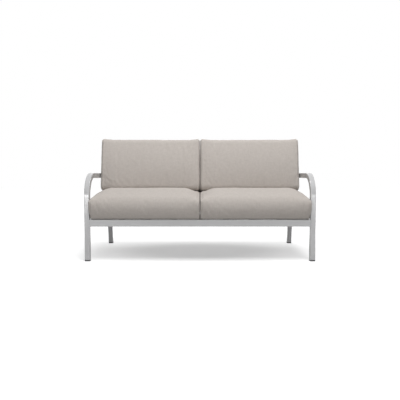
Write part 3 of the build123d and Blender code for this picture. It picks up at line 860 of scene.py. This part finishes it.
def make_zip(name, cover, middle, facing):
    """A zip along X on a cover's surface; facing is the way it looks."""
    across = facing.cross(Vector((1, 0, 0)))
    mesh = bpy.data.meshes.new(name)
    work = bmesh.new()
    columns = 140
    half_length = zip_length / 2
    half_section = ((tape_half, tape_edge), (tape_half * 0.55, tape_thickness),
                    (coil_half, tape_thickness), (tape_parting, tape_thickness * 0.5))
    section = [(-row, lift) for row, lift in half_section] + list(half_section[::-1])
    grid = [[work.verts.new((-half_length + zip_length * i / columns, row, lift))
             for row, lift in section] for i in range(columns + 1)]
    under = [[work.verts.new((-half_length + zip_length * i / columns, row, -tape_sink))
              for row in (-tape_half, tape_half)] for i in range(columns + 1)]
    for i in range(columns):
        for j in range(len(section) - 1):
            work.faces.new((grid[i][j], grid[i + 1][j], grid[i + 1][j + 1], grid[i][j + 1]))
        work.faces.new((under[i][0], under[i + 1][0], grid[i + 1][0], grid[i][0]))
        work.faces.new((grid[i][-1], grid[i + 1][-1], under[i + 1][1], under[i][1]))
        work.faces.new((under[i][1], under[i + 1][1], under[i + 1][0], under[i][0]))
    work.faces.new((*grid[0], under[0][1], under[0][0]))
    work.faces.new((under[-1][0], under[-1][1], *reversed(grid[-1])))
    at = half_length - slider_inset
    base = tape_thickness
    pull = [(-0.0165, -0.0019), (-0.0020, -0.0014), (-0.0020, 0.0014), (-0.0165, 0.0019)]
    for outline, low, high in ((slider_outline(0.011, 0.0042, 0.0031), 0.0003, 0.0012),
                               (slider_outline(0.0045, 0.0011, 0.0009), 0.0008, 0.0026),
                               (pull, 0.0013, 0.0022)):
        plate(work, [(at + x, y) for x, y in outline], base + low, base + high, slider_bevel)
    for end in (-half_length + stop_inset, half_length - stop_inset):
        first, last = end - stop_half_length, end + stop_half_length
        plate(work, [(first, -stop_half_width), (last, -stop_half_width), (last, stop_half_width),
                     (first, stop_half_width)], 0.0004, base + 0.0011, stop_bevel)
    bmesh.ops.recalc_face_normals(work, faces=work.faces)
    teeth_lift = base + 0.0001
    reach = half_length - teeth_inset
    teeth = [[(-reach, -tooth_row, teeth_lift), (reach, -tooth_row, teeth_lift)],
             [(-reach + tooth_pitch / 2, tooth_row, teeth_lift), (reach, tooth_row, teeth_lift)]]
    sewn = [[(-half_length + stitch_inset, y, base), (half_length - stitch_inset, y, base)]
            for y in (-stitch_row, stitch_row)]
    for part in (row_along("teeth", teeth, tooth_pitch, tooth_size, variation=0.0, seed=1,
                           material=zip_nylon),
                 row_along("stitches", sewn, stitch_pitch, stitch_size, variation=0.06, seed=2,
                           material=zip_nylon)):
        work.from_mesh(part)
        bpy.data.meshes.remove(part)
    surface = BVHTree.FromPolygons([vert.co for vert in cover.data.vertices],
                                   [face.vertices for face in cover.data.polygons])
    for vert in work.verts:
        x, y, lift = vert.co
        place = middle + Vector((x, 0, 0)) + across * y
        hit = surface.ray_cast(place + facing * ray_start, -facing)[0]
        vert.co = (hit or place) + facing * lift
    work.to_mesh(mesh)
    work.free()
    mesh.polygons.foreach_set("use_smooth", [True] * len(mesh.polygons))
    mesh.materials.append(zip_nylon)
    made = bpy.data.objects.new(name, mesh)
    bpy.context.scene.collection.objects.link(made)
    return made


back_facing = (behind - up_slope).normalized()
for side in ("left", "right"):
    for kind, covers, facing in (("seat", seat_covers, Vector((0, 1, 0))),
                                 ("back", back_covers, back_facing)):
        zip_low, zip_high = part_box(f"{kind}_zip_{side}")
        made = make_zip(f"{kind}_cover_zip_{side}", covers[side], (zip_low + zip_high) / 2, facing)
        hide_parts(f"{kind}_zip_{side}")
        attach(made, f"{kind}_cushion_{side}")


# The floor and the light
# A plain pale floor under soft studio light: a lamp overhead, one high in front, one low in front on each
# side and a wide one behind.
# Its glow is held low in an ellipse under the seat, a painted shadow on top of the seat's own, and rises
# round it until the floor is white.
floor_half = 14.0
floor_mesh = bpy.data.meshes.new("floor")
floor_mesh.from_pydata([(-floor_half, -floor_half, 0), (floor_half, -floor_half, 0),
                        (floor_half, floor_half, 0), (-floor_half, floor_half, 0)], [], [(0, 1, 2, 3)])
floor = bpy.data.objects.new("floor", floor_mesh)
bpy.context.scene.collection.objects.link(floor)
floor_paint, shader, start = finish("floor_paint", Base_Color=(0.45, 0.45, 0.45, 1), Roughness=0.9,
                                    Specular_IOR_Level=0.2, Emission_Strength=1.0)
# Size and place of the ellipse in which the floor's glow is held low, a painted shadow under the seat.
shadow_half_width = 0.95
shadow_half_depth = 0.55
shadow_shift = 0.03
place = object_place(start)
centred = place.node("ShaderNodeMapping", {},
                     {"Vector": place, "Location": (0, -shadow_shift / shadow_half_depth, 0),
                      "Scale": (1 / shadow_half_width, 1 / shadow_half_depth, 0)})
reach = centred.node("ShaderNodeVectorMath", {"operation": "LENGTH"}, {0: centred}, "Value")


def seen_rays(start):
    """Above 0 for rays from the camera, off a gloss or through something clear, 0 for the rest."""
    camera_rays, glossy_rays, clear_rays = (start.node("ShaderNodeLightPath", {}, {}, f"Is {kind} Ray")
                                            for kind in ("Camera", "Glossy", "Transmission"))
    return camera_rays + glossy_rays + clear_rays


# The glow is lowest under the seat, where it is a painted shadow, and ramps up across the ellipse's edge;
# the far ramp lifts the distant floor to white.
painted_shadow_glow = 0.405
painted_shadow_edge_glow = reach.between(0.34, 1.14) * 0.32
far_glow = reach.between(1.0, 2.4) * 0.26
glow = seen_rays(start) * (painted_shadow_glow + painted_shadow_edge_glow + far_glow)
feed(shader, Emission_Color=glow.blend((0, 0, 0), (1, 1, 1)))
floor_mesh.materials.append(floor_paint)
floor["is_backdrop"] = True


def soft_lamp(name, place, target, width, height, watts):
    """A flat lamp that points at its target."""
    lamp = bpy.data.lights.new(name, "AREA")
    lamp.shape = "RECTANGLE"
    lamp.size = width
    lamp.size_y = height
    lamp.energy = watts
    made = bpy.data.objects.new(name, lamp)
    made.location = place
    made.rotation_euler = (Vector(target) - Vector(place)).to_track_quat("-Z", "Y").to_euler()
    bpy.context.scene.collection.objects.link(made)


soft_lamp("overhead_lamp", place=(0.35, -1.2, 5.0), target=(0, -0.30, 0.3), width=1.6, height=1.6, watts=132)
soft_lamp("high_front_lamp", place=(0.6, -3.0, 5.0), target=(0, 0, 0.3), width=1.4, height=1.4, watts=115)
for side, sign, watts in (("left", -1, 20), ("right", 1, 12)):
    soft_lamp(f"{side}_strip_lamp", place=(sign * 1.52, -3.57, 0.57), target=(sign * 1.52, 0, 0.57),
              width=0.75, height=0.72, watts=watts)
soft_lamp("rear_lamp", place=(0, 3.4, 2.9), target=(0, 0.2, 0.5), width=3.0, height=1.6, watts=40)

ambient = 0.03
world = bpy.data.worlds.new("studio")
world.use_nodes = True
bpy.context.scene.world = world
background = world.node_tree.nodes["Background"]
background.inputs["Color"].default_value = (1, 1, 1, 1)
rays = seen_rays(Wire(world.node_tree))
strength = rays.math("MINIMUM", rays, 1.0) * (1 - ambient) + ambient
world.node_tree.links.new(strength.socket, background.inputs["Strength"])

low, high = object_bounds()
